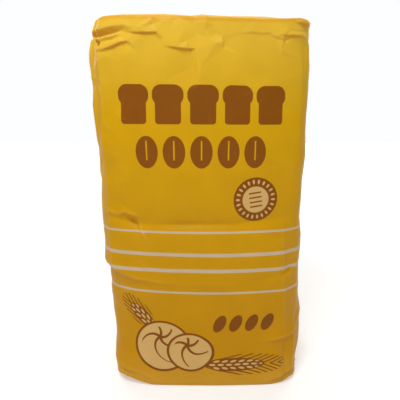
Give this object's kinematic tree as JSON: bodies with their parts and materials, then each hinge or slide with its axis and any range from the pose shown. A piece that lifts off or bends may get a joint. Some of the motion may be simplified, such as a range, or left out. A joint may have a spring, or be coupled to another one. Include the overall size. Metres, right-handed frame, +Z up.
{
  "type": "bag of breadcrumbs",
  "caption": "Filled paper pack of breadcrumbs with a block bottom and a folded, glued top, standing upright on its base.",
  "frame": {"origin": "on the table under the middle of the pack's outer box", "axes": "+Z up along the pack's height, -Y out of the printed front, +X to the right as seen from the front"},
  "size_m": [0.1149, 0.0623, 0.1904],
  "materials": {
    "yellow_paper": "printed paper with a soft satin sheen, yellow ochre with cream stripes and brown print, creased at the folds and corners"
  },
  "bodies": {
    "root": {"bag": "yellow_paper"}
  },
  "joints": []
}
